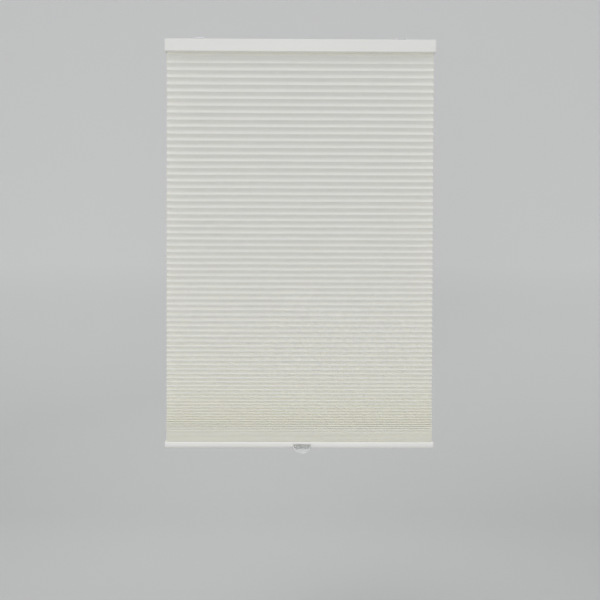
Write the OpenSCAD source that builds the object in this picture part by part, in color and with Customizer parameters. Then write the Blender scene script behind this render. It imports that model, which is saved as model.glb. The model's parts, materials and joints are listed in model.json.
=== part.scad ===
// Cordless cellular shade: honeycomb fabric hung between a head rail and a bottom rail,
// raised by a spring motor in the head rail. Millimetres. X runs along the rails, -Y is
// the room side, Z is up, and z = 0 is the face that the brackets are screwed to.

/* [Shade] */
// Width across the end caps of both rails
shade_w = 902; // [700:1:1200]
// Length of each end cap along the rail
cap_w = 4; // [4:0.5:10]
// Gap between the edge of the fabric and the end caps
fabric_gap = 0.5; // [0.5:0.5:5]
// Height of the fabric between the two rails as it hangs
fabric_drop = 1304; // [600:1:1700]
// Distance from each end of the rails to the lift cord there
lift_inset = 171; // [120:1:260]

/* [Fabric] */
// Cells that lie stacked on the bottom rail
stacked_cells = 15; // [0:1:30]
// Length of one slope of a pleat, from glue strip to crease
pleat_side = 14; // [10:0.1:18]
// Width of the glue strip that joins two cells
glue_w = 8; // [6:0.5:12]
// Thickness of the fabric
fabric_t = 0.3; // [0.2:0.05:0.6]
// Opening of a stacked cell, rise over run of its slopes
stack_load = 0.15; // [0.1:0.01:0.3]
// Opening of the lowest hanging cell, rise over run of its slopes
first_load = 0.34; // [0.2:0.01:0.6]
// Extra opening for each cell that hangs below
load_step = 0.0212; // [0.01:0.0002:0.04]
// Diameter of the holes for the lift cords in the fabric
cord_hole_d = 4; // [3:0.5:5]

/* [Head rail] */
// Height of the head rail
rail_h = 41; // [38:0.5:50]
// Depth of the head rail
rail_d = 48; // [44:0.5:60]
// Wall of the head rail
rail_t = 1.3; // [1:0.1:2]
// Outer corner radius of the head rail
rail_r = 2; // [1:0.25:4]
// Width of the two lips along the open top
rail_lip = 5; // [4:0.25:7]
// Depth to which each end cap plugs into its rail
plug_l = 12; // [8:1:20]
// Wall of the end caps
cap_t = 1.6; // [1.2:0.1:2.4]

/* [Brackets] */
// Height from the rail up to the mounting face
bracket_gap = 5; // [4.5:0.25:8]
// Distance from each end of the rails to the middle of the bracket there
bracket_inset = 115; // [60:1:140]
// Width of each bracket
bracket_w = 28; // [26:1:40]
// Sheet thickness of the brackets
bracket_t = 1.2; // [0.8:0.1:1.6]
// Distance between the two screw holes of a bracket
screw_pitch = 16; // [12:0.5:18]
// Diameter of the screw holes
screw_hole_d = 4.6; // [4:0.1:5.4]
// Width of the hook and of the latch toe
hook_w = 14; // [10:0.5:16]
// Travel of the release latch
latch_travel = 3; // [2:0.1:4]

/* [Bottom rail] */
// Height of the bottom rail
foot_h = 24; // [20:0.5:30]
// Depth of the bottom rail
foot_d = 38; // [38:0.5:46]
// Wall of the bottom rail
foot_t = 1.3; // [1:0.1:2]
// Outer radius of the lower corners of the bottom rail
foot_r = 13; // [8:0.5:14]
// Outer radius of the upper corners of the bottom rail
foot_top_r = 5; // [3:0.25:6]
// Width of the ballast bar
ballast_w = 12; // [8:0.5:14]
// Thickness of the ballast bar
ballast_t = 5; // [3:0.25:6]

/* [Handle] */
// Width of the handle
handle_w = 58; // [40:1:80]
// Place of the handle to the right of the rail's middle
handle_off = 9; // [-40:1:40]
// Height of the half-moon pull
pull_h = 20; // [16:0.5:28]
// Height of the top of the pull over the rail's underside
pull_up = 8; // [6:0.25:10]
// Forward tilt of the pull in degrees
pull_tilt = 18; // [0:1:30]
// Thickness of the handle
handle_t = 1.8; // [1.2:0.1:2.5]
// Diameter of the rim bead
bead_d = 3.6; // [2.6:0.1:4]

/* [Spring motor] */
// Teeth on each drum gear
gear_teeth = 24; // [20:2:30]
// Thickness of the drum gears
gear_h = 4; // [3:0.25:5]
// Space from the gear tips to the rail's walls
gear_clear = 3.2; // [2.5:0.1:5]
// Play between the gear teeth along the pitch circle
gear_backlash = 0.25; // [0.15:0.05:0.4]
// Height of the drums
drum_h = 21; // [18:0.5:24]
// Radius of the drum cores
core_r = 8.5; // [7:0.25:9]
// Diameter of the drum posts
post_d = 6; // [5:0.25:7]
// Depth of wound cord on a spool
winding_t = 1.4; // [1:0.1:2]
// Depth of wound spring on the storage drum
stored_t = 4; // [3:0.25:5]
// Depth of wound spring on the output drum
drawn_t = 1.4; // [1:0.1:2]

/* [Lift cords] */
// Diameter of a lift cord
cord_d = 1.4; // [1:0.1:2]
// Radius of the groove in the guide rollers
groove_r = 4.2; // [3.5:0.1:5]
// Diameter of the roller pins
pin_d = 3; // [2:0.25:3.5]

/* [Hidden] */
$fn = 64;
fabric_w = shade_w - 2 * (cap_w + fabric_gap);
rail_l = shade_w - 2 * cap_w;
lift_x = shade_w / 2 - lift_inset;
bracket_pitch = shade_w - 2 * bracket_inset;
// Clearances: seated sheet, strip in its pocket, plugged cap, running shaft, held pin
seat_fit = 0.2;
strip_fit = 0.1;
plug_fit = 0.15;
run_fit = 0.06;
pin_fit = 0.02;
side_play = 0.3;
// Fabric carriers
mouth_clear = 2.5;
lip_hold = 2.5;
strip_t = 1.5;
strip_short = 1;
strip_l = fabric_w - 2 * strip_short;
mouth_w = glue_w + 2 * mouth_clear;
strip_w = mouth_w + 2 * lip_hold;
pocket_w = strip_w + 2 * (strip_fit + fabric_t);
pocket_h = strip_t + 2 * (strip_fit + fabric_t);
slot_w = pocket_w + 2 * seat_fit;
slot_h = pocket_h + 2 * seat_fit;
// Head rail levels
rail_top = -bracket_gap;
rail_bottom = rail_top - rail_h;
floor_z = rail_bottom + 2 * rail_t + slot_h;
rail_in = rail_d - 2 * rail_t;
// Fabric levels: the glue lines run down from the rail's underside
fabric_top = rail_bottom - seat_fit;
top_neck = rail_t + 2 * seat_fit;
// Cell n from the bottom opens under the cells that hang below it, then all are fitted to the drop
function load(n) = max(stack_load, first_load + load_step * (n - stacked_cells));
function opening(n) = 2 * pleat_side * load(n) / sqrt(1 + pow(load(n), 2));
function cells(n, drop) = drop < opening(n) / 2 ? n : cells(n + 1, drop - opening(n));
function sum(v, i = 0) = i < len(v) ? v[i] + sum(v, i + 1) : 0;
cell_count = cells(0, fabric_drop);
drop_fit = fabric_drop / sum([for (n = [0:cell_count - 1]) opening(n)]);
function pitch(i) = drop_fit * opening(cell_count - 1 - i);
function slope_sin(i) = pitch(i) / 2 / pleat_side;
function slope_cos(i) = sqrt(1 - pow(slope_sin(i), 2));
function crease(i) = glue_w / 2 + pleat_side * slope_cos(i);
glue_z = [for (i = 0, z = fabric_top; i <= cell_count; z = z - pitch(min(i, cell_count - 1)), i = i + 1) z];
fabric_bottom = glue_z[cell_count];
// Bottom rail levels
foot_top = fabric_bottom - seat_fit;
foot_bottom = foot_top - foot_h;
foot_neck = foot_t + 2 * seat_fit;
anchor_h = 3;
anchor_room = anchor_h + 1.5;
foot_slot_h = slot_h + anchor_room;
web_z = foot_top - 2 * foot_t - foot_slot_h;
foot_low_r = min(foot_r, foot_h - foot_top_r - 1);
foot_flat = foot_d - 2 * foot_low_r;
bar_w = min(ballast_w, foot_flat);
// Drum gears fill the depth of the rail
gear_out_r = rail_in / 2 - gear_clear;
gear_m = 2 * gear_out_r / (gear_teeth + 2);
gear_r = gear_m * gear_teeth / 2;
gear_base_r = gear_r * cos(20);
gear_root_r = gear_r - 1.25 * gear_m;
drum_pitch = 2 * gear_r;
base_t = 2;
tray_rim = 5;
tray_wall = 1.5;
tray_l = 3 * drum_pitch + 2 * (gear_out_r + gear_clear);
drum_z = floor_z + base_t + side_play;
flange_t = 1.2;
flange_r = gear_root_r - 1.5;
cover_t = 2.5;
cover_z = drum_z + drum_h + side_play;
wind_z = drum_z + gear_h + side_play;
wind_h = drum_h - gear_h - flange_t - 2 * side_play;
// Lift cords: from the spool over a roller and down
cord_r = cord_d / 2;
cord_air = 0.2;
winding_r = core_r + strip_fit + winding_t;
cord_off = winding_r + cord_r + cord_air;
cord_z = wind_z + wind_h / 2;
roll_r = groove_r + cord_r + cord_air;
roll_x = lift_x - roll_r;
roll_z = cord_z - roll_r;
roll_flange_r = groove_r + 1.6;
roll_w = 6;
guide_w = 24;
cheek_t = 2;
hole_margin = 1;
floor_hole_d = cord_hole_d + 2 * hole_margin;
anchor_r = 4;
anchor_z = fabric_bottom - foot_neck - pocket_h - seat_fit;
cord_end = anchor_z - anchor_h - 0.8;
// Bracket details
lip_in = rail_d / 2 - rail_lip;
hook_leg = lip_in - 1;
hook_toe = rail_lip / 2;
toe_z = rail_top - rail_t - seat_fit;
toe_t = 1.4;
latch_half = hook_w / 2 + 2;
latch_l = 11;
latch_leg = 2.3;
ear_l = 9;
plate_d = rail_d - 2;
latch_back = plate_d / 2 + latch_travel;
// Handle details
hug = 0.35;
saddle_low = 4.5;
hug_d = foot_d + 2 * hug;
handle_d = hug_d + 2 * handle_t;
pull_r = (pow(handle_w / 2, 2) + pow(pull_h, 2)) / (2 * pull_h);
pull_arc = 2 * asin(handle_w / 2 / pull_r);
pull_z = foot_bottom + pull_up;
bar_d = bead_d + 0.6;
screw_y = -foot_flat / 2 + 5;
saddle_back = screw_y + 4;
screw_x = handle_w * 0.3;

// Stands a profile drawn as (y, z) up along X, centred
module along_x(l) {
  rotate([90, 0, 90])
    linear_extrude(height = l, center = true)
      children();
}

// Rounded box of depth d between two heights, with one corner radius
module round_box(d, z0, z1, r) {
  translate([-d / 2 + r, z0])
    square([d - 2 * r, z1 - z0]);
  translate([-d / 2, z0 + r])
    square([d, z1 - z0 - 2 * r]);
  for (y = [-1, 1])
    for (z = [z0 + r, z1 - r])
      translate([y * (d / 2 - r), z])
        circle(r);
}

// The same with its own radii at the bottom and at the top
module trough_box(d, z0, z1, low, high) {
  intersection() {
    round_box(d, z0 - 2 * high, z1, high);
    round_box(d, z0, z1 + 2 * low, low);
  }
}

// Box of depth d between two heights
module flat_box(d, z0, z1) {
  translate([-d / 2, z0])
    square([d, z1 - z0]);
}

// Hole down through a part at the lift cords
module cord_holes(d, z0, z1, sides = $fn) {
  for (side = [-1, 1])
    translate([side * lift_x, 0, z0])
      cylinder(d = d, h = z1 - z0, $fn = sides);
}

module rail_profile() {
  difference() {
    round_box(rail_d, rail_bottom, rail_top, rail_r);
    flat_box(rail_in, floor_z, rail_top - rail_t);
    flat_box(rail_d - 2 * rail_lip, rail_top - 2 * rail_t, rail_top + 1);
    flat_box(slot_w, rail_bottom + rail_t, floor_z - rail_t);
    flat_box(mouth_w, rail_bottom - 1, floor_z - 2 * rail_t);
    for (side = [0, 180])
      translate([0, rail_bottom + rail_t + slot_h / 2])
        rotate(side)
          translate([slot_w / 2 + rail_t, -slot_h / 2])
            square([(rail_in - slot_w) / 2 - rail_t, slot_h]);
  }
}

module head_rail() {
  color([0.9, 0.89, 0.86])
    difference() {
      along_x(rail_l)
        rail_profile();
      cord_holes(floor_hole_d, floor_z - rail_t - 0.5, floor_z + 0.5);
    }
}

// End cap with a flush face and a hollow plug that enters the rail's channel
module head_cap(side) {
  plug_d = rail_in - 2 * plug_fit;
  plug_z0 = floor_z + plug_fit;
  plug_z1 = rail_top - rail_t - plug_fit;
  color([0.88, 0.87, 0.83])
    difference() {
      union() {
        translate([side * (rail_l + cap_w) / 2, 0, 0])
          along_x(cap_w)
            round_box(rail_d, rail_bottom, rail_top, rail_r);
        translate([side * (rail_l + cap_w - plug_l) / 2, 0, 0])
          along_x(plug_l + cap_w)
            flat_box(plug_d, plug_z0, plug_z1);
      }
      translate([side * (shade_w / 2 - cap_t - plug_l), 0, 0])
        along_x(2 * plug_l)
          flat_box(plug_d - 2 * cap_t, plug_z0 + cap_t, plug_z1 - cap_t);
    }
}

// Bracket of folded sheet: top plate, flanges, front hook and two ears that guide the latch
module bracket(side) {
  flange_h = bracket_gap - seat_fit;
  ear_x = latch_half + seat_fit;
  ear_z = -bracket_gap + 0.3;
  color([0.74, 0.74, 0.76])
    translate([side * bracket_pitch / 2, 0, 0])
      difference() {
        union() {
          translate([-bracket_w / 2, -plate_d / 2, -bracket_t])
            cube([bracket_w, plate_d, bracket_t]);
          translate([-bracket_w / 2, -plate_d / 2, -flange_h])
            cube([bracket_w, bracket_t, flange_h]);
          translate([-bracket_w / 2, plate_d / 2 - bracket_t, -flange_h])
            cube([bracket_w, bracket_t, flange_h]);
          translate([-hook_w / 2, -hook_leg, toe_z - toe_t])
            cube([hook_w, bracket_t, -toe_z + toe_t]);
          translate([-hook_w / 2, -hook_leg - hook_toe - 1, toe_z - toe_t])
            cube([hook_w, hook_toe + 1 + bracket_t, toe_t]);
          for (x = [-1, 1])
            translate([x * (ear_x + bracket_t / 2) - bracket_t / 2, lip_in - latch_l, ear_z - bracket_t])
              cube([bracket_t, ear_l, -ear_z + bracket_t]);
          for (x = [-1, 1])
            translate([x * ear_x - bracket_t, lip_in - latch_l, ear_z - bracket_t])
              cube([2 * bracket_t, ear_l, bracket_t]);
        }
        for (x = [-1, 1])
          translate([x * screw_pitch / 2, 0, -bracket_t - 1])
            cylinder(d = screw_hole_d, h = bracket_t + 2);
        translate([-hook_w / 2 - seat_fit, plate_d / 2 - 2 * bracket_t, -flange_h - 1])
          cube([hook_w + 2 * seat_fit, 3 * bracket_t, flange_h + 1 - bracket_t]);
      }
}

// Sliding latch whose toe holds the rear lip of the rail; its button stands out behind
module bracket_latch(side) {
  body_z0 = -bracket_gap + 0.5;
  body_z1 = -bracket_t - seat_fit;
  color([0.9, 0.9, 0.88])
    translate([side * bracket_pitch / 2, 0, 0])
      union() {
        translate([-latch_half, lip_in - latch_l + 1, body_z0])
          cube([2 * latch_half, latch_l, body_z1 - body_z0]);
        translate([-hook_w / 2, lip_in, body_z0])
          cube([hook_w, latch_back - lip_in, body_z1 - body_z0]);
        translate([-hook_w / 2, lip_in - latch_leg, toe_z - toe_t])
          cube([hook_w, latch_leg - 0.5, body_z0 - toe_z + toe_t + 1]);
        translate([-hook_w / 2, lip_in - latch_leg, toe_z - toe_t])
          cube([hook_w, latch_leg + hook_toe, toe_t]);
      }
}

// Angle of half a gear tooth at radius r, an involute of 20 degrees
function roll_out(r) = tan(acos(gear_base_r / r)) * 180 / PI - acos(gear_base_r / r);
function half_tooth(r) =
  90 / gear_teeth - gear_backlash / gear_r * 45 / PI + roll_out(gear_r) - roll_out(r);
function polar(r, a) = [r * cos(a), r * sin(a)];
flank = [for (k = [0:4]) gear_base_r + (gear_out_r - gear_base_r) * k / 4];
function tooth(a) = concat(
  [polar(gear_root_r, a - half_tooth(gear_base_r))],
  [for (k = [0:4]) polar(flank[k], a - half_tooth(flank[k]))],
  [for (k = [4:-1:0]) polar(flank[k], a + half_tooth(flank[k]))],
  [polar(gear_root_r, a + half_tooth(gear_base_r))]
);

// Gear outline; every second gear is turned by half a tooth so that the row meshes
module gear(turned) {
  polygon([for (k = [0:gear_teeth - 1]) each tooth((k + (turned ? 0.5 : 0)) * 360 / gear_teeth)]);
}

// Drum number k of the row, on its post: gear, core and top flange
module drum(k) {
  translate([(k - 1.5) * drum_pitch, 0, drum_z])
    difference() {
      union() {
        linear_extrude(height = gear_h)
          gear(k % 2 == 1);
        cylinder(r = core_r, h = drum_h);
        translate([0, 0, drum_h - flange_t])
          cylinder(r = flange_r, h = flange_t);
      }
      translate([0, 0, -1])
        cylinder(d = post_d + 2 * run_fit, h = drum_h + 2);
      for (a = [0:90:270])
        rotate(a + 45)
          translate([(flange_r + core_r) / 2, 0, drum_h - flange_t - 1])
            cylinder(d = (flange_r - core_r) * 0.5, h = flange_t + 2);
    }
}

// Ring of wound cord or spring on drum number k
module winding(k, t) {
  translate([(k - 1.5) * drum_pitch, 0, wind_z])
    linear_extrude(height = wind_h)
      difference() {
        circle(core_r + strip_fit + t);
        circle(core_r + strip_fit);
      }
}

// Tray with four posts, seated on the floor of the head rail
module motor_base() {
  tray_d = rail_in - 2 * plug_fit;
  color([0.25, 0.26, 0.28])
    union() {
      difference() {
        translate([-tray_l / 2, -tray_d / 2, floor_z])
          cube([tray_l, tray_d, base_t + tray_rim]);
        translate([-tray_l / 2 + tray_wall, -tray_d / 2 + tray_wall, floor_z + base_t])
          cube([tray_l - 2 * tray_wall, tray_d - 2 * tray_wall, tray_rim + 1]);
      }
      for (k = [0:3])
        translate([(k - 1.5) * drum_pitch, 0, floor_z + base_t / 2])
          cylinder(d = post_d, h = cover_z + cover_t - floor_z - base_t / 2);
    }
}

// Bar across the four post tops
module motor_cover() {
  bar_d = post_d + 8;
  color([0.3, 0.31, 0.33])
    translate([0, 0, cover_z])
      linear_extrude(height = cover_t)
        difference() {
          union() {
            square([3 * drum_pitch, bar_d * 0.6], center = true);
            for (k = [0:3])
              translate([(k - 1.5) * drum_pitch, 0])
                circle(bar_d / 2);
          }
          for (k = [0:3])
            translate([(k - 1.5) * drum_pitch, 0])
              circle(post_d / 2 + pin_fit);
        }
}

module spring_output_drum() {
  color([0.82, 0.83, 0.84])
    drum(1);
}

module spring_storage_drum() {
  color([0.82, 0.83, 0.84])
    drum(2);
}

// Steel band that runs in an S from the storage drum to the output drum
module power_spring() {
  band_t = 0.5;
  r1 = core_r + side_play + drawn_t;
  r2 = core_r + side_play + stored_t;
  lean = asin((r1 + r2 - band_t) / drum_pitch);
  reach = sqrt(pow(drum_pitch, 2) - pow(r1 + r2 - band_t, 2));
  color([0.45, 0.47, 0.5])
    translate([0, 0, wind_z])
      linear_extrude(height = wind_h)
        difference() {
          union() {
            translate([-drum_pitch / 2, 0])
              circle(r1);
            translate([drum_pitch / 2, 0])
              circle(r2);
            translate([-drum_pitch / 2, 0])
              rotate(lean - 90)
                translate([r1 - band_t, -0.5])
                  square([band_t, reach + 1]);
          }
          for (x = [-1, 1])
            translate([x * drum_pitch / 2, 0])
              circle(core_r + side_play);
        }
}

module cord_spool(side) {
  color([0.9, 0.9, 0.88])
    drum(side < 0 ? 0 : 3);
}

module cord_winding(side) {
  color([0.93, 0.92, 0.88])
    winding(side < 0 ? 0 : 3, winding_t);
}

// Guide block on the rail's floor: base with a cord hole and two cheeks for the roller
module cord_guide(side) {
  cheek_h = roll_z + pin_d - floor_z;
  color([0.25, 0.26, 0.28])
    translate([side * roll_x, 0, 0])
      difference() {
        union() {
          translate([-guide_w / 2, -rail_in / 2 + plug_fit, floor_z])
            cube([guide_w, rail_in - 2 * plug_fit, base_t]);
          for (y = [-1, 1])
            translate([-5, y * (roll_w / 2 + side_play + cheek_t / 2) - cheek_t / 2, floor_z])
              cube([10, cheek_t, cheek_h]);
        }
        translate([side * roll_r, 0, floor_z - 1])
          cylinder(d = floor_hole_d, h = base_t + 2);
        translate([0, 0, roll_z])
          rotate([90, 0, 0])
            cylinder(d = pin_d + 2 * pin_fit, h = 3 * roll_w, center = true);
      }
}

module guide_roller(side) {
  color([0.85, 0.85, 0.82])
    translate([side * roll_x, 0, roll_z])
      rotate([90, 0, 0])
        rotate_extrude()
          polygon([
            [pin_d / 2 + run_fit, -roll_w / 2], [roll_flange_r, -roll_w / 2],
            [roll_flange_r, -roll_w / 2 + 1.2], [groove_r, -cord_d * 0.75],
            [groove_r, cord_d * 0.75], [roll_flange_r, roll_w / 2 - 1.2],
            [roll_flange_r, roll_w / 2], [pin_d / 2 + run_fit, roll_w / 2]
          ]);
}

module roller_pin(side) {
  color([0.7, 0.71, 0.73])
    translate([side * roll_x, 0, roll_z])
      rotate([90, 0, 0])
        cylinder(d = pin_d, h = roll_w + 2 * (side_play + cheek_t), center = true);
}

// Route of a lift cord: spool tangent, quarter turn over the roller, straight drop
function cord_route(side) = concat(
  [[side * 1.5 * drum_pitch, -cord_off, cord_z]],
  [for (a = [90:-15:0]) [side * (roll_x + roll_r * cos(a)), 0, roll_z + roll_r * sin(a)]],
  [[side * lift_x, 0, cord_end]]
);
function unit(v) = v / norm(v);
// Direction of a route at point i, the middle of the two pieces that meet there
function heading(p, i) =
  i == 0 ? unit(p[1] - p[0]) :
  i == len(p) - 1 ? unit(p[i] - p[i - 1]) :
  unit(unit(p[i] - p[i - 1]) + unit(p[i + 1] - p[i]));

// Tube of radius r along a route that never runs along Y
module tube(p, r) {
  sides = 8;
  u = [for (i = [0:len(p) - 1]) unit(cross(heading(p, i), [0, 1, 0]))];
  v = [for (i = [0:len(p) - 1]) cross(heading(p, i), u[i])];
  rings = [
    for (i = [0:len(p) - 1])
      for (k = [0:sides - 1])
        p[i] + r * (cos(k * 360 / sides) * u[i] + sin(k * 360 / sides) * v[i])
  ];
  walls = [
    for (i = [0:len(p) - 2])
      for (k = [0:sides - 1])
        let (a = i * sides + k, b = i * sides + (k + 1) % sides)
          each [[a, a + sides, b], [b, a + sides, b + sides]]
  ];
  first = [for (k = [0:sides - 1]) k];
  last = [for (k = [sides - 1:-1:0]) (len(p) - 1) * sides + k];
  polyhedron(rings, concat(walls, [first], [last]), convexity = 6);
}

module lift_cord(side) {
  color([0.93, 0.92, 0.88])
    tube(cord_route(side), cord_r);
}

// Flat slat that spreads a pocket of the fabric inside its rail
module strip(z) {
  difference() {
    translate([-strip_l / 2, -strip_w / 2, z])
      cube([strip_l, strip_w, strip_t]);
    cord_holes(cord_hole_d, z - 1, z + strip_t + 1);
  }
}

module top_strip() {
  color([0.8, 0.8, 0.78])
    strip(fabric_top + top_neck + fabric_t + strip_fit);
}

module bottom_strip() {
  color([0.8, 0.8, 0.78])
    strip(fabric_bottom - foot_neck - pocket_h + fabric_t + strip_fit);
}

// Inside of cell i, set in from its outline by the thickness of the fabric
function cell_hole(i) =
  let (
    y1 = glue_w / 2 - fabric_t * (1 - slope_cos(i)) / slope_sin(i),
    y2 = crease(i) - fabric_t / slope_sin(i),
    z0 = glue_z[i] - fabric_t,
    z1 = (glue_z[i] + glue_z[i + 1]) / 2,
    z2 = glue_z[i + 1] + fabric_t
  )
  [[-y1, z0], [-y2, z1], [-y1, z2], [y1, z2], [y2, z1], [y1, z0]];

front_edge = concat(
  [[-pocket_w / 2, fabric_top + top_neck + pocket_h], [-pocket_w / 2, fabric_top + top_neck]],
  [[-glue_w / 2, fabric_top + top_neck]],
  [
    for (i = [0:cell_count - 1])
      each [[-glue_w / 2, glue_z[i]], [-crease(i), (glue_z[i] + glue_z[i + 1]) / 2]]
  ],
  [[-glue_w / 2, fabric_bottom], [-glue_w / 2, fabric_bottom - foot_neck]],
  [[-pocket_w / 2, fabric_bottom - foot_neck]],
  [[-pocket_w / 2, fabric_bottom - foot_neck - pocket_h]]
);
rear_edge = [for (i = [len(front_edge) - 1:-1:0]) [-front_edge[i][0], front_edge[i][1]]];

// Honeycomb seen from its end: outline, cells, and a necked pocket at each end
module fabric_profile() {
  pocket_in = pocket_w - 2 * fabric_t;
  neck_in = glue_w - 2 * fabric_t;
  difference() {
    polygon(concat(front_edge, rear_edge));
    for (i = [0:cell_count - 1])
      polygon(cell_hole(i));
    flat_box(pocket_in, fabric_top + top_neck + fabric_t, fabric_top + top_neck + pocket_h - fabric_t);
    flat_box(neck_in, fabric_top + fabric_t, fabric_top + top_neck - fabric_t);
    flat_box(neck_in, fabric_bottom - foot_neck + fabric_t, fabric_bottom - fabric_t);
    flat_box(
      pocket_in,
      fabric_bottom - foot_neck - pocket_h + fabric_t,
      fabric_bottom - foot_neck - fabric_t
    );
  }
}

module fabric() {
  color([0.83, 0.82, 0.78])
    difference() {
      along_x(fabric_w)
        fabric_profile();
      cord_holes(cord_hole_d, foot_bottom, rail_top, 6);
    }
}

module foot_profile() {
  difference() {
    union() {
      difference() {
        trough_box(foot_d, foot_bottom, foot_top, foot_low_r, foot_top_r);
        trough_box(
          foot_d - 2 * foot_t,
          foot_bottom + foot_t,
          foot_top - foot_t,
          foot_low_r - foot_t,
          foot_top_r - foot_t
        );
      }
      flat_box(slot_w + 2 * foot_t, web_z, foot_top - foot_t / 2);
    }
    flat_box(slot_w, web_z + foot_t, foot_top - foot_t);
    flat_box(mouth_w, web_z + 2 * foot_t, foot_top + 1);
  }
}

module bottom_rail() {
  color([0.9, 0.89, 0.86])
    difference() {
      along_x(rail_l)
        foot_profile();
      for (x = [-1, 1])
        translate([handle_off + x * screw_x, screw_y, foot_bottom - 1])
          cylinder(d = 2.4, h = foot_t + 2);
    }
}

// End cap of the bottom rail, plugged into the space under the fabric slot
module bottom_cap(side) {
  plug_d = foot_flat;
  plug_z0 = foot_bottom + foot_t + plug_fit;
  plug_z1 = web_z - plug_fit;
  color([0.88, 0.87, 0.83])
    difference() {
      union() {
        translate([side * (rail_l + cap_w) / 2, 0, 0])
          along_x(cap_w)
            trough_box(foot_d, foot_bottom, foot_top, foot_low_r, foot_top_r);
        translate([side * (rail_l + cap_w - plug_l) / 2, 0, 0])
          along_x(plug_l + cap_w)
            flat_box(plug_d, plug_z0, plug_z1);
      }
      translate([side * (shade_w / 2 - cap_t - plug_l), 0, 0])
        along_x(2 * plug_l)
          flat_box(plug_d - 2 * cap_t, plug_z0 + cap_t, plug_z1 - cap_t);
    }
}

module ballast_bar() {
  l = rail_l - 2 * plug_l - 4 * cap_t;
  color([0.5, 0.51, 0.53])
    difference() {
      translate([-l / 2, -bar_w / 2, foot_bottom + foot_t])
        cube([l, bar_w, ballast_t]);
      for (x = [-1, 1])
        translate([handle_off + x * screw_x, screw_y, foot_bottom])
          cylinder(d = 5, h = foot_t + ballast_t + 1);
    }
}

// Disc under the bottom strip that the end of a lift cord is tied through
module cord_anchor(side) {
  color([0.25, 0.26, 0.28])
    translate([side * lift_x, 0, anchor_z - anchor_h])
      difference() {
        cylinder(r = anchor_r, h = anchor_h);
        translate([0, 0, -1])
          cylinder(r = cord_r + side_play, h = anchor_h + 2);
      }
}

// Half-moon pull in its own plane, hanging from a bar at z = 0, with a bead round its rim
module pull() {
  rotate([90, 0, 0])
    linear_extrude(height = handle_t, center = true)
      intersection() {
        translate([0, pull_r - pull_h])
          circle(pull_r);
        translate([-handle_w / 2, -pull_h - 1])
          square([handle_w, pull_h + 1.5]);
      }
  translate([0, 0, pull_r - pull_h])
    rotate([90, 0, 0])
      rotate(-90 - pull_arc / 2)
        rotate_extrude(angle = pull_arc)
          translate([pull_r, 0])
            circle(d = bead_d);
  rotate([0, 90, 0])
    cylinder(d = bar_d, h = handle_w + bar_d, center = true);
}

module handle() {
  front = -handle_d / 2;
  over_z = foot_top + 2 * foot_low_r;
  color([0.85, 0.88, 0.9, 0.5])
    difference() {
      union() {
        translate([handle_off, 0, 0])
          along_x(handle_w)
            intersection() {
              difference() {
                round_box(handle_d, foot_bottom - hug - handle_t, over_z, foot_low_r + hug + handle_t);
                round_box(hug_d, foot_bottom - hug, over_z, foot_low_r + hug);
              }
              translate([front - 1, foot_bottom - handle_t - 1])
                square([saddle_back - front + 1, foot_h - saddle_low]);
            }
        translate([handle_off, front + handle_t - bead_d / 2, pull_z])
          rotate([-pull_tilt, 0, 0])
            pull();
      }
      for (x = [-1, 1])
        translate([handle_off + x * screw_x, screw_y, foot_bottom - handle_t - 1])
          cylinder(d = 3.2, h = handle_t + 2);
    }
}

// Two small pan-head screws that hold the handle to the underside of the rail
module handle_screws() {
  head_z = foot_bottom - hug - handle_t;
  color([0.7, 0.71, 0.73])
    for (x = [-1, 1])
      translate([handle_off + x * screw_x, screw_y, 0])
        union() {
          translate([0, 0, head_z - 1.5])
            cylinder(d = 5.4, h = 1.5);
          translate([0, 0, head_z - 0.5])
            cylinder(d = 2.4 - 2 * pin_fit, h = handle_t + hug + foot_t + 3);
        }
}

head_rail();
head_cap(-1);  // head_cap_left
head_cap(1);  // head_cap_right
bracket(-1);  // bracket_left
bracket(1);  // bracket_right
bracket_latch(-1);  // bracket_latch_left
bracket_latch(1);  // bracket_latch_right
motor_base();
motor_cover();
spring_output_drum();
spring_storage_drum();
power_spring();
cord_spool(-1);  // cord_spool_left
cord_spool(1);  // cord_spool_right
cord_winding(-1);  // cord_winding_left
cord_winding(1);  // cord_winding_right
cord_guide(-1);  // cord_guide_left
cord_guide(1);  // cord_guide_right
guide_roller(-1);  // guide_roller_left
guide_roller(1);  // guide_roller_right
roller_pin(-1);  // roller_pin_left
roller_pin(1);  // roller_pin_right
lift_cord(-1);  // lift_cord_left
lift_cord(1);  // lift_cord_right
top_strip();
fabric();
bottom_strip();
bottom_rail();
bottom_cap(-1);  // bottom_cap_left
bottom_cap(1);  // bottom_cap_right
ballast_bar();
cord_anchor(-1);  // cord_anchor_left
cord_anchor(1);  // cord_anchor_right
handle();
handle_screws();
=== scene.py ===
"""Looks of the cordless cellular shade: pleated fabric, painted rails, clear pull, motor inside.

Metres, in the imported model's own frame: X along the rails, -Y is the room side, Z is up.
"""

import json
import math

import bmesh
import bpy
from mathutils import Matrix, Vector, noise


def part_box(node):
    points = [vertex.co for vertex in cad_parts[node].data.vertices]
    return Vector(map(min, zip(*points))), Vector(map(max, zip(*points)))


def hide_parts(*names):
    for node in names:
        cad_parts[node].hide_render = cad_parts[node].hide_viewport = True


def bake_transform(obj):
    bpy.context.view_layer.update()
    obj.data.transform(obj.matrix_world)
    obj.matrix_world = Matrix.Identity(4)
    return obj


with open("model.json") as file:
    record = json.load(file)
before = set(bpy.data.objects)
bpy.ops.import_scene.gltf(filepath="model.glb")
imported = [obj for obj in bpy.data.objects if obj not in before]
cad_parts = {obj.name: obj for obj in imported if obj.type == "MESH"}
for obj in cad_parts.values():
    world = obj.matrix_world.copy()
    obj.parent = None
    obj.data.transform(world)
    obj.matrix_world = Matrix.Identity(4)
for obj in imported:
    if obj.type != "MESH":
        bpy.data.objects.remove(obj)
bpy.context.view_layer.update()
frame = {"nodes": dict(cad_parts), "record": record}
NODES = frame["nodes"]
MM = 0.001

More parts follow.
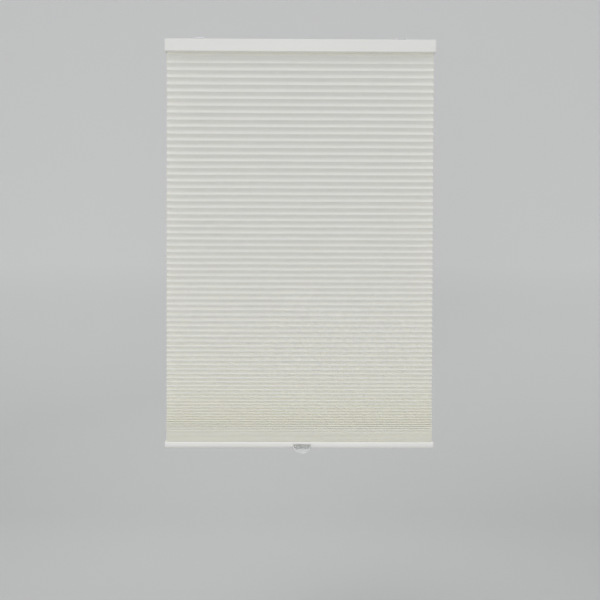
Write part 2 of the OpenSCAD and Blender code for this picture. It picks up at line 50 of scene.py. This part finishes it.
# The honeycomb, as in the part's source
STACKED_CELLS = 15
PLEAT_SIDE = 14 * MM
GLUE_W = 8 * MM
FABRIC_T = 0.3 * MM
STACK_LOAD, FIRST_LOAD, LOAD_STEP = 0.15, 0.34, 0.0212
FABRIC_DROP = 1304 * MM
FABRIC_TOP = -46.2 * MM
NECK_H = 1.7 * MM
POCKET_W, POCKET_H = 18.8 * MM, 2.3 * MM
CORD_HOLE = 4 * MM

# How its slopes bend, by their steepness (rise over run): the power of the bend, the part of the
# run that bowing takes up, and the swelling of stacked cells
OPEN_RISE = 1.1
OPEN_POWER, CLOSING_POWER = 0.56, 0.7
BOW_SHARE, BOW_RISES = 0.1, (0.75, 0.35)
SWELL_SHARE, SWELL_RISES, SWELL_POWER = 0.78, (0.34, 0.18), 12

# Where a slope has edges, from its glue line (0) to its crease (1)
SLOPE_OUTS = (0.0, 0.1, 0.4, 1.0)
SWOLLEN_OUTS = (0.0, 0.1, 0.45, 0.8, 0.93, 1.0)

# Columns of faces along the fabric, and how far the even ones stay from a cord hole
COLUMNS = 38
HOLE_MARGIN = 4 * MM

# Unevenness of the pleats, in waves of (height in mm, rate along X, steps a cell, seed)
HEIGHT_WAVES = ((0.6, 4.0, 1, 1.7), (0.2, 13.0, 1, 8.1))
DEPTH_WAVES = ((0.7, 6.0, 1, 4.4), (0.3, 18.0, 3.1, 2.9))
CELL_STEP = 0.23  # how far the waves move on from cell to cell
FULL_PITCH = 22 * MM  # cells that are less high are more even
CALM_CELLS = 3  # cells over which the waves fade towards a rail
GLUE_SHARE = 0.35  # share of the height waves that reaches a glue line
CREASE_ANGLE = math.radians(60)

# Nearer than this, points of the fabric and widths of its columns are the same
SAME_POINT, SAME_WIDTH = 1e-7, 1e-6

# The lift cords' route, as in the part's source
CORD_R = 0.7 * MM
SPOOL_X, SPOOL_OFF = 54 * MM, 10.9 * MM
LIFT_X = 280 * MM
ROLL_R, ROLL_Z = 5.1 * MM, -31.6 * MM
CORD_SIDES, CORD_BEND_STEPS = 10, 9

# The half-moon pull and the motor's drums, as in the part's source
PULL_X, PULL_Y, PULL_Z = 9 * MM, -21.15 * MM, -1366.4 * MM
PULL_R, PULL_H, PULL_TILT = 31.025 * MM, 20 * MM, math.radians(18)
BEAD_R = 1.8 * MM
DRUM_X = 18 * MM

# The room: floor and wall, the sweep between them, and their colours
FLOOR_Z, WALL_Y, SWEEP_R, SWEEP_STEPS = -2.5, 4.6, 1.6, 12
ROOM_NEAR_Y, ROOM_TOP_Z, ROOM_REACH = -9.0, 6.0, 16.0
FLOOR_COLOR, WALL_COLOR = (0.58, 0.585, 0.58), (0.90, 0.90, 0.895)
WALL_COLOR_Z = FLOOR_Z + 1.2 * SWEEP_R
SKY_COLOR = (0.97, 0.98, 1.0, 1)

# The photograph's point of view, its angles in degrees
CAMERA_PLACE = (-0.0177, -2.7, -0.8267)
CAMERA_LENS, CAMERA_SENSOR = 48.04, 36
CAMERA_YAW, CAMERA_PITCH, CAMERA_ROLL = -0.4, 90 - 0.994, 0.18
DIFFUSE_BOUNCES = 12


def mesh_object(name, verts, faces):
    mesh = bpy.data.meshes.new(name)
    mesh.from_pydata(verts, [], faces)
    mesh.validate()
    for polygon in mesh.polygons:
        polygon.use_smooth = True
    obj = bpy.data.objects.new(name, mesh)
    bpy.context.scene.collection.objects.link(obj)
    return obj


def share_between(value, low, high):
    """How far a value has come from low to high, from 0 to 1."""
    return min(1.0, max(0.0, (value - low) / (high - low)))


# Materials

class Look:
    """A Principled material with short helpers for its node tree."""

    def __init__(self, name, color, roughness, **sockets):
        self.color = color
        self.material = bpy.data.materials.new(name)
        self.material.use_nodes = True
        self.tree = self.material.node_tree
        self.bsdf = self.tree.nodes["Principled BSDF"]
        self.bsdf.inputs["Base Color"].default_value = (*color, 1)
        self.bsdf.inputs["Roughness"].default_value = roughness
        for socket, value in sockets.items():
            self.bsdf.inputs[socket.replace("_", " ")].default_value = value
        self.coords = self.add("ShaderNodeTexCoord").outputs["Object"]
        self.normal = None

    def add(self, kind, **values):
        """A new node; values are those of its inputs or else its own settings."""
        node = self.tree.nodes.new(kind)
        for key, value in values.items():
            if key in node.inputs:
                node.inputs[key].default_value = value
            else:
                setattr(node, key, value)
        return node

    def link(self, source, target):
        self.tree.links.new(source, target)

    def axis(self, name):
        """One of the object coordinates X, Y and Z."""
        node = self.add("ShaderNodeSeparateXYZ")
        self.link(self.coords, node.inputs[0])
        return node.outputs[name]

    def noise(self, scale, detail=3.0, stretch=(1, 1, 1)):
        """Noise over the object coordinates, which are first stretched along each axis."""
        mapping = self.add("ShaderNodeMapping", Scale=stretch)
        self.link(self.coords, mapping.inputs["Vector"])
        node = self.add("ShaderNodeTexNoise", Scale=scale, Detail=detail)
        self.link(mapping.outputs["Vector"], node.inputs["Vector"])
        return node.outputs["Fac"]

    def math(self, operation, *values):
        """A calculation with one to three values, each a number or another node's output."""
        node = self.add("ShaderNodeMath", operation=operation)
        for k, value in enumerate(values):
            if isinstance(value, (int, float)):
                node.inputs[k].default_value = value
            else:
                self.link(value, node.inputs[k])
        return node.outputs[0]

    def root_of_squares(self, a, b):
        squares = [self.math("MULTIPLY", value, value) for value in (a, b)]
        return self.math("SQRT", self.math("ADD", *squares))

    def remap(self, fac, start=(0.0, 1.0), end=(0.0, 1.0)):
        """A value taken from one range to another."""
        node = self.add("ShaderNodeMapRange")
        node.inputs["From Min"].default_value, node.inputs["From Max"].default_value = start
        node.inputs["To Min"].default_value, node.inputs["To Max"].default_value = end
        self.link(fac, node.inputs["Value"])
        return node.outputs["Result"]

    def paint(self, fac, stops):
        """Base colour from (position, colour) stops along a value."""
        node = self.add("ShaderNodeValToRGB")
        elements = node.color_ramp.elements
        while len(elements) < len(stops):
            elements.new(0.5)
        for element, (position, color) in zip(elements, stops):
            element.position = position
            element.color = (*color, 1)
        self.link(fac, node.inputs["Fac"])
        self.link(node.outputs["Color"], self.bsdf.inputs["Base Color"])

    def shade(self, fac, *stops):
        """Base colour in lighter and darker tints, from (position, tint) stops along a value."""
        self.paint(fac, [(position, [min(1.0, c * tint) for c in self.color])
                         for position, tint in stops])

    def rough(self, fac, low, high):
        self.link(self.remap(fac, end=(low, high)), self.bsdf.inputs["Roughness"])

    def bump(self, fac, depth):
        """Adds a bump of a given depth on top of the ones before."""
        node = self.add("ShaderNodeBump", Distance=depth, Strength=1.0)
        self.link(fac, node.inputs["Height"])
        if self.normal is not None:
            self.link(self.normal, node.inputs["Normal"])
        self.normal = node.outputs["Normal"]
        self.link(self.normal, self.bsdf.inputs["Normal"])


def fabric_material():
    m = Look("fabric_cream", (0.935, 0.925, 0.858), 0.9, Specular_IOR_Level=0.2, Sheen_Weight=0.1,
             Subsurface_Weight=0.5, Subsurface_Radius=(1.0, 0.95, 0.85),
             Subsurface_Scale=0.5 * MM)
    cloud = m.noise(9.0, detail=4.0, stretch=(1, 1, 1.6))
    fibre = m.noise(900.0, detail=2.0, stretch=(0.35, 1, 1))
    fibre_share, cloud_share, base = 0.55, 0.12, 0.165
    clouded = m.math("MULTIPLY_ADD", cloud, cloud_share, base)
    blend = m.math("MULTIPLY_ADD", fibre, fibre_share, clouded)
    m.shade(blend, (0.3, 0.95), (0.5, 1.0), (0.72, 1.04))
    m.bump(fibre, 0.06 * MM)
    m.bump(m.noise(2600.0, detail=2.0, stretch=(1, 1, 0.4)), 0.03 * MM)
    m.bump(m.noise(60.0, detail=2.0, stretch=(0.3, 1, 1.5)), 0.1 * MM)
    return m.material


def rail_material():
    m = Look("rail_cream", (0.95, 0.945, 0.91), 0.38, Specular_IOR_Level=0.45, Coat_Weight=0.08)
    m.shade(m.noise(5.0, stretch=(0.4, 1, 1)), (0.3, 0.975), (0.7, 1.02))
    m.rough(m.noise(24.0, stretch=(0.2, 1, 1)), 0.33, 0.46)
    m.bump(m.noise(700.0, detail=2.0), 0.012 * MM)
    return m.material


def plastic_material(name, color, roughness, grain=0.02 * MM):
    m = Look(name, color, roughness)
    m.shade(m.noise(40.0), (0.3, 0.96), (0.7, 1.03))
    m.rough(m.noise(90.0), roughness - 0.06, roughness + 0.08)
    m.bump(m.noise(2400.0, detail=2.0), grain)
    return m.material


def steel_material(name, color, roughness, stretch=(1, 1, 1), spread=0.06):
    m = Look(name, color, roughness, Metallic=1.0)
    streak = m.noise(260.0, detail=4.0, stretch=stretch)
    m.shade(streak, (0.3, 0.88), (0.7, 1.06))
    m.rough(streak, roughness - spread, roughness + spread)
    m.bump(streak, 0.01 * MM)
    return m.material


CORD_COLOR = (0.86, 0.85, 0.80)


def cord_material():
    """Braided cord: two sets of strands that cross each other, with painted shade where they dip.
    """
    m = Look("cord_white", CORD_COLOR, 0.8, Sheen_Weight=0.1, Specular_IOR_Level=0.25)
    around_rate, along_rate = 2400.0, 3600.0
    around = m.math("ADD", *(m.math("MULTIPLY", m.axis(name), around_rate) for name in "XY"))
    along = m.math("MULTIPLY", m.axis("Z"), along_rate)
    strands = [m.math("SINE", m.math(turn, around, along)) for turn in ("ADD", "SUBTRACT")]
    braid = m.math("MULTIPLY", *strands)
    # painted shade: darker in the dips of the braid, following the bump
    m.shade(m.remap(braid, start=(-1.0, 1.0)), (0.2, 0.86), (0.7, 1.0))
    m.bump(braid, 0.12 * MM)
    return m.material


def winding_material():
    """Turns of cord lying above each other on a spool, with painted shade in the grooves between
    them.
    """
    m = Look("cord_turns", CORD_COLOR, 0.8, Sheen_Weight=0.1)
    turn_rate = math.pi / (2 * CORD_R)
    turn = m.math("ABSOLUTE", m.math("SINE", m.math("MULTIPLY", m.axis("Z"), turn_rate)))
    # painted shade: darker in the grooves where the turns meet, following the bump
    m.shade(turn, (0.0, 0.55), (0.45, 0.95), (1.0, 1.0))
    m.bump(turn, 0.6 * MM)
    m.bump(m.noise(2600.0, detail=2.0), 0.05 * MM)
    return m.material


def spring_material():
    """Blued steel strip, its coils seen from above as fine rings about the two drums, with painted
    shade between the coils.
    """
    m = Look("spring_steel", (0.33, 0.36, 0.41), 0.28, Metallic=1.0)
    coil_rate = 16000.0
    aside = m.math("SUBTRACT", m.math("ABSOLUTE", m.axis("X")), DRUM_X)
    far = m.root_of_squares(aside, m.axis("Y"))
    coil = m.remap(m.math("SINE", m.math("MULTIPLY", far, coil_rate)), start=(-1.0, 1.0))
    # painted shade in the gaps between the coils, and a painted highlight on the coils
    m.shade(coil, (0.1, 0.6), (0.6, 1.0), (1.0, 1.25))
    m.bump(coil, 0.1 * MM)
    m.rough(m.noise(300.0, stretch=(1, 1, 0.1)), 0.22, 0.36)
    return m.material


def clear_material():
    """Clear moulded plastic; the bead round the pull and its bar are made milky, a painted
    highlight for the light they catch.
    """
    m = Look("handle_clear", (0.96, 0.965, 0.96), 0.05, IOR=1.49, Transmission_Weight=1.0)
    rim_painted_highlight, bar_painted_highlight = 0.6, 0.45
    aside = m.math("SUBTRACT", m.axis("X"), PULL_X)
    drop = m.math("SUBTRACT", m.axis("Z"), PULL_Z)
    along = m.math("SUBTRACT", m.math("DIVIDE", drop, math.cos(PULL_TILT)), PULL_R - PULL_H)
    rim = m.math("GREATER_THAN", m.root_of_squares(aside, along), PULL_R - BEAD_R)
    bar = m.math("LESS_THAN", m.math("ABSOLUTE", drop), BEAD_R)
    sheet = m.math("MULTIPLY_ADD", drop, -math.tan(PULL_TILT), m.axis("Y"))
    pull = m.math("LESS_THAN", sheet, PULL_Y + BEAD_R)
    # painted highlight: the bead and bar are less clear and paler, standing in for the light they
    # catch
    edge = m.math("MAXIMUM", m.math("MULTIPLY", rim, rim_painted_highlight), m.math("MULTIPLY", bar, bar_painted_highlight))
    clear = m.math("SUBTRACT", 1.0, m.math("MULTIPLY", pull, edge))
    m.link(clear, m.bsdf.inputs["Transmission Weight"])
    m.rough(m.noise(120.0), 0.03, 0.09)
    m.bump(m.noise(35.0, detail=2.0), 0.04 * MM)
    return m.material


MATERIALS = {
    "rail_white": rail_material(),
    "cap_white": plastic_material("cap_cream", (0.94, 0.935, 0.90), 0.42),
    "bracket_zinc": steel_material("zinc_plate", (0.70, 0.70, 0.72), 0.36),
    "latch_white": plastic_material("latch_white", (0.78, 0.78, 0.76), 0.4),
    "motor_dark": plastic_material("motor_grey", (0.055, 0.058, 0.064), 0.5, grain=0.04 * MM),
    "drum_white": plastic_material("drum_nylon", (0.74, 0.74, 0.70), 0.38),
    "spring_steel": spring_material(),
    "pin_steel": steel_material("pin_steel", (0.66, 0.66, 0.67), 0.22),
    "cord_white": winding_material(),
    "strip_white": plastic_material("strip_white", (0.75, 0.75, 0.72), 0.5),
    "fabric_cream": fabric_material(),
    "ballast_steel": steel_material("ballast_steel", (0.30, 0.30, 0.31), 0.5,
                                    stretch=(0.05, 1, 1), spread=0.12),
    "handle_clear": clear_material(),
}
for entry in frame["record"]["subparts"]:
    node = NODES[entry["node"]]
    if not node.material_slots:
        node.data.materials.append(None)
    for slot in node.material_slots:
        slot.material = MATERIALS[entry["material_slot"]]


# The pleated fabric

def load(n):
    """Rise over run of the slopes of cell n, counted from the bottom."""
    return max(STACK_LOAD, FIRST_LOAD + LOAD_STEP * (n - STACKED_CELLS))


def glue_lines():
    """Heights of the glue lines from the top down, the cells fitted to the drop."""
    pitches, left = [], FABRIC_DROP
    while True:
        rise = load(len(pitches))
        pitch = 2 * PLEAT_SIDE * rise / math.hypot(1, rise)
        if left < pitch / 2:
            break
        pitches.append(pitch)
        left -= pitch
    fit = FABRIC_DROP / sum(pitches)
    levels = [FABRIC_TOP]
    for pitch in reversed(pitches):
        levels.append(levels[-1] - pitch * fit)
    return levels


GLUE_Z = glue_lines()
CELLS = len(GLUE_Z) - 1
FABRIC_BOTTOM = GLUE_Z[-1]


def cell_slope(i):
    """Half height and run of the slopes of cell i, its bend, and how far it swells.

    The bend gives the drop along a slope, from its glue line (out = 0) to its crease (out = 1),
    as part of the whole. Open cells are drawn straight down at the glue line and stand out in a
    sharp crease. As a cell closes, its slopes bow and take up some of their run, and stacked
    cells have full fronts.
    """
    half = (GLUE_Z[i] - GLUE_Z[i + 1]) / 2
    run = math.sqrt(PLEAT_SIDE ** 2 - half ** 2)
    rise = half / run
    power = OPEN_POWER + CLOSING_POWER * max(0.0, OPEN_RISE - rise)
    bow = BOW_SHARE * share_between(rise, *BOW_RISES)
    share = share_between(rise, *SWELL_RISES)
    swell = SWELL_SHARE * share * share * (3 - 2 * share)

    def bend(out):
        return (1 - swell) * out ** power + swell * out ** SWELL_POWER

    return half, run * (1 - bow), bend, swell


def both_slopes(i, points):
    """Points of an upper slope, given from its glue line, then those of the mirrored lower one."""
    upper = [(y, GLUE_Z[i] - z, out) for y, z, out in points]
    lower = [(y, GLUE_Z[i + 1] + z, out) for y, z, out in reversed(points)]
    return upper + lower[1:]


def cell_points(i):
    """Front half of cell i from top to bottom, as (depth, height, how far out to the crease)."""
    half, run, bend, swell = cell_slope(i)
    outs = SWOLLEN_OUTS if swell else SLOPE_OUTS
    return both_slopes(i, [(GLUE_W / 2 + run * out, half * bend(out), out) for out in outs])


def inner_points(i):
    """Inside of the front half of cell i, a fabric thickness within it."""
    half, run, bend, _ = cell_slope(i)
    sin, cos = half / PLEAT_SIDE, run / PLEAT_SIDE
    edge = GLUE_W / 2 - FABRIC_T * (1 - cos) / sin
    reach = GLUE_W / 2 + run - FABRIC_T / sin - edge
    return both_slopes(i, [(edge + reach * out, FABRIC_T + (half - FABRIC_T) * bend(out), out)
                           for out in SLOPE_OUTS])


def waver(x, cell, waves, shift=0):
    """Slow unevenness along a pleat in millimetres, alike in neighbouring pleats."""
    return sum(height * noise.noise(Vector((x * rate, cell * step * CELL_STEP, seed + shift)))
               for height, rate, step, seed in waves)


def moved(x, y, z, out, cell, side):
    """Point of the fabric with its small unevenness; still at the rails."""
    pitch = GLUE_Z[cell] - GLUE_Z[cell + 1]
    calm = min(1.0, cell / CALM_CELLS, (CELLS - 1 - cell) / CALM_CELLS)
    size = min(1.0, pitch / FULL_PITCH) ** 2 * calm
    dz = size * MM * waver(x, cell, HEIGHT_WAVES)
    dy = size * MM * out * waver(x, cell, DEPTH_WAVES, shift=side)
    return (x, side * (y + dy), z + dz * (GLUE_SHARE + (1 - GLUE_SHARE) * out))


def fabric_columns(width):
    """Places along X: even steps, with a pair of edges at each lift cord's hole."""
    xs = [-width / 2 + width * k / COLUMNS for k in range(COLUMNS + 1)]
    for side in (-1, 1):
        low, high = side * LIFT_X - CORD_HOLE / 2, side * LIFT_X + CORD_HOLE / 2
        xs = [x for x in xs if not low - HOLE_MARGIN < x < high + HOLE_MARGIN] + [low, high]
    return sorted(xs)


def make_fabric():
    """The honeycomb as one closed mesh: its outside, the inside of its cells and its cut ends."""
    low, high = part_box("fabric")
    xs = fabric_columns(high.x - low.x)
    spans = range(len(xs) - 1)
    holes = [k for k in spans if abs(xs[k + 1] - xs[k] - CORD_HOLE) < SAME_WIDTH]
    verts, faces = [], []

    def add_line(y, z, out, cell, side):
        """Vertices along X at one point of the section, as their numbers; without a cell, even."""
        first = len(verts)
        if cell is None:
            verts.extend((x, side * y, z) for x in xs)
        else:
            verts.extend(moved(x, y, z, out, cell, side) for x in xs)
        return range(first, len(verts))

    def front_and_back(points, cell=None):
        return [[add_line(*point, cell, side) for point in points] for side in (-1, 1)]

    def add_wall(a, b, flip=False, leave=()):
        """Faces between two lines, apart from the spans to leave open."""
        for k in spans:
            if k not in leave:
                quad = (a[k], a[k + 1], b[k + 1], b[k])
                faces.append(quad[::-1] if flip else quad)

    def add_skin(lines, flip=False):
        for a, b in zip(lines, lines[1:]):
            add_wall(a, b, flip)

    # the outside: top pocket, cells and bottom pocket; a glue edge belongs to the cell below it,
    # so that neighbours share it
    neck, pocket = GLUE_W / 2, POCKET_W / 2
    top_z, foot_z = FABRIC_TOP + NECK_H, FABRIC_BOTTOM - NECK_H
    head = front_and_back([(pocket, top_z + POCKET_H, 0), (pocket, top_z, 0), (neck, top_z, 0)])
    outers = [front_and_back(cell_points(i)[:-1], i) for i in range(CELLS)]
    outers.append(front_and_back([(neck, FABRIC_BOTTOM, 0), (neck, foot_z, 0),
                                  (pocket, foot_z, 0), (pocket, foot_z - POCKET_H, 0)]))
    fronts, backs = ([line for lines in [head] + outers for line in lines[k]] for k in (0, 1))
    add_skin(fronts + backs[::-1] + fronts[:1])

    # the inside of the cells, with a hole from cell to cell where a lift cord passes
    inners = [front_and_back(inner_points(i), i) for i in range(CELLS)]
    for i, (a, b) in enumerate(inners):
        add_skin(a, flip=True)
        add_skin(b)
        add_wall(a[0], b[0], leave=holes)
        add_wall(a[-1], b[-1], flip=True, leave=holes)
        if i == 0:
            continue
        over_a, over_b = (lines[-1] for lines in inners[i - 1])
        for k in holes:
            n = k + 1
            faces.append((over_a[k], over_a[n], a[0][n], a[0][k]))
            faces.append((b[0][k], b[0][n], over_b[n], over_b[k]))
            faces.append((over_a[k], a[0][k], b[0][k], over_b[k]))
            faces.append((over_b[n], b[0][n], a[0][n], over_a[n]))

    # the cut edges of the fabric at its two ends
    for end in (0, len(xs) - 1):
        for i, (a, b) in enumerate(inners):
            front, back = outers[i]
            below_front, below_back = (lines[0] for lines in outers[i + 1])
            rims = [front + [below_front] + a[::-1], [below_back] + back[::-1] + b]
            if i + 1 < CELLS:
                below_a, below_b = (lines[0] for lines in inners[i + 1])
                rims.append([below_front, below_a, below_b, below_back, b[-1], a[-1]])
            for rim in rims:
                face = [line[end] for line in rim]
                faces.append(face if end else face[::-1])

    fabric = mesh_object("pleated_fabric", verts, faces)
    bm = bmesh.new()
    bm.from_mesh(fabric.data)
    bmesh.ops.remove_doubles(bm, verts=bm.verts, dist=SAME_POINT)
    # closes the pockets' ends, and the cord holes of the first and last cell towards the pockets
    bmesh.ops.holes_fill(bm, edges=[edge for edge in bm.edges if edge.is_boundary])
    bmesh.ops.recalc_face_normals(bm, faces=bm.faces)
    bm.to_mesh(fabric.data)
    bm.free()
    fabric.data.set_sharp_from_angle(angle=CREASE_ANGLE)
    return fabric


def share_travel(obj):
    """Bakes the piece's placement into its mesh."""
    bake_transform(obj)


fabric = make_fabric()
fabric.data.materials.append(MATERIALS["fabric_cream"])
share_travel(fabric)
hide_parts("fabric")


# The lift cords

def tube(name, path, radius, sides):
    """A round tube along a path, closed at both ends."""
    verts, faces = [], []
    for i, point in enumerate(path):
        before = (point - path[i - 1]).normalized() if i else None
        after = (path[i + 1] - point).normalized() if i + 1 < len(path) else None
        heading = ((before or after) + (after or before)).normalized()
        u = heading.cross(Vector((0, 1, 0))).normalized()
        v = heading.cross(u)
        for k in range(sides):
            a = 2 * math.pi * k / sides
            verts.append(point + radius * (math.cos(a) * u + math.sin(a) * v))
    for first in range(0, (len(path) - 1) * sides, sides):
        after = first + sides
        for k in range(sides):
            n = (k + 1) % sides
            faces.append((first + k, first + n, after + n, after + k))
    faces.append(tuple(range(sides))[::-1])
    faces.append(tuple(range((len(path) - 1) * sides, len(path) * sides)))
    return mesh_object(name, verts, faces)


def make_cord(side, label, material):
    """A cord from its spool over the guide roller and down to its anchor."""
    cord_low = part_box("lift_cord_" + label)[0].z
    path = [Vector((side * SPOOL_X, -SPOOL_OFF, ROLL_Z + ROLL_R))]
    for k in range(CORD_BEND_STEPS + 1):
        a = math.pi / 2 * (1 - k / CORD_BEND_STEPS)
        x = LIFT_X - ROLL_R + ROLL_R * math.cos(a)
        path.append(Vector((side * x, 0, ROLL_Z + ROLL_R * math.sin(a))))
    path.append(Vector((side * LIFT_X, 0, cord_low)))
    cord = tube("cord_run_" + label, path, CORD_R, CORD_SIDES)
    cord.data.materials.append(material)
    share_travel(cord)
    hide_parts("lift_cord_" + label)


braided = cord_material()
for side, label in ((-1, "left"), (1, "right")):
    make_cord(side, label, braided)


# Room, light and camera

def make_room():
    """Pale floor that sweeps up into a far wall."""
    profile = [(ROOM_NEAR_Y, FLOOR_Z), (WALL_Y - SWEEP_R, FLOOR_Z)]
    for k in range(1, SWEEP_STEPS + 1):
        a = math.pi / 2 * k / SWEEP_STEPS
        profile.append((WALL_Y - SWEEP_R + SWEEP_R * math.sin(a),
                        FLOOR_Z + SWEEP_R * (1 - math.cos(a))))
    profile.append((WALL_Y, ROOM_TOP_Z))
    verts = [(x, y, z) for x in (-ROOM_REACH, ROOM_REACH) for y, z in profile]
    n = len(profile)
    faces = [(k, n + k, n + k + 1, k + 1) for k in range(n - 1)]
    room = mesh_object("room", verts, faces)
    m = Look("pale_room", FLOOR_COLOR, 0.9)
    waver_z = 0.1
    uneven_z = m.math("MULTIPLY_ADD", m.noise(0.6, detail=2.0), waver_z, m.axis("Z"))
    m.paint(m.remap(uneven_z, start=(FLOOR_Z, WALL_COLOR_Z)),
            [(0.0, FLOOR_COLOR), (1.0, WALL_COLOR)])
    room.data.materials.append(m.material)


def area_light(name, place, target, size, power):
    data = bpy.data.lights.new(name, "AREA")
    data.shape = "RECTANGLE"
    data.size, data.size_y = size
    data.energy = power
    light = bpy.data.objects.new(name, data)
    light.location = place
    aim = Vector(target) - Vector(place)
    light.rotation_euler = aim.to_track_quat("-Z", "Y").to_euler()
    bpy.context.scene.collection.objects.link(light)


def sun_light(name, towards, strength, spread):
    """Even light from a direction, with shadows softened over a spread in degrees."""
    data = bpy.data.lights.new(name, "SUN")
    data.energy = strength
    data.angle = math.radians(spread)
    light = bpy.data.objects.new(name, data)
    light.rotation_euler = Vector(towards).to_track_quat("Z", "Y").to_euler()
    bpy.context.scene.collection.objects.link(light)


def make_sky():
    """Soft light from all round, fainter from below."""
    world = bpy.data.worlds.new("studio")
    world.use_nodes = True
    nodes, links = world.node_tree.nodes, world.node_tree.links
    height = nodes.new("ShaderNodeSeparateXYZ")
    links.new(nodes.new("ShaderNodeTexCoord").outputs["Generated"], height.inputs[0])
    ramp = nodes.new("ShaderNodeMapRange")
    for name, value in (("From Min", -0.6), ("From Max", 0.5), ("To Min", 0.25), ("To Max", 0.5)):
        ramp.inputs[name].default_value = value
    links.new(height.outputs["Z"], ramp.inputs["Value"])
    nodes["Background"].inputs["Color"].default_value = SKY_COLOR
    links.new(ramp.outputs["Result"], nodes["Background"].inputs["Strength"])
    return world


def make_camera():
    data = bpy.data.cameras.new("camera")
    data.sensor_width = CAMERA_SENSOR
    data.lens = CAMERA_LENS
    camera = bpy.data.objects.new("camera", data)
    turn = Matrix.Identity(4)
    for angle, axis in ((CAMERA_YAW, "Z"), (CAMERA_PITCH, "X"), (CAMERA_ROLL, "Z")):
        turn = turn @ Matrix.Rotation(math.radians(angle), 4, axis)
    camera.matrix_world = Matrix.Translation(CAMERA_PLACE) @ turn
    bpy.context.scene.collection.objects.link(camera)
    return camera


make_room()
sun_light("key", towards=(-0.35, -1.2, 2.0), strength=0.56, spread=24)
area_light("front", place=(-0.6, -6.0, -0.4), target=(0, 0, -0.75), size=(4.0, 3.5), power=78)
area_light("back", place=(-0.8, 3.4, 0.7), target=(0, 0, -0.7), size=(2.6, 2.0), power=32)

scene = bpy.context.scene
scene.world = make_sky()
scene.camera = make_camera()
scene.view_settings.view_transform = "Standard"
# light reaches the bottom of a deep groove only after many bounces between its pale slopes
scene.cycles.diffuse_bounces = DIFFUSE_BOUNCES
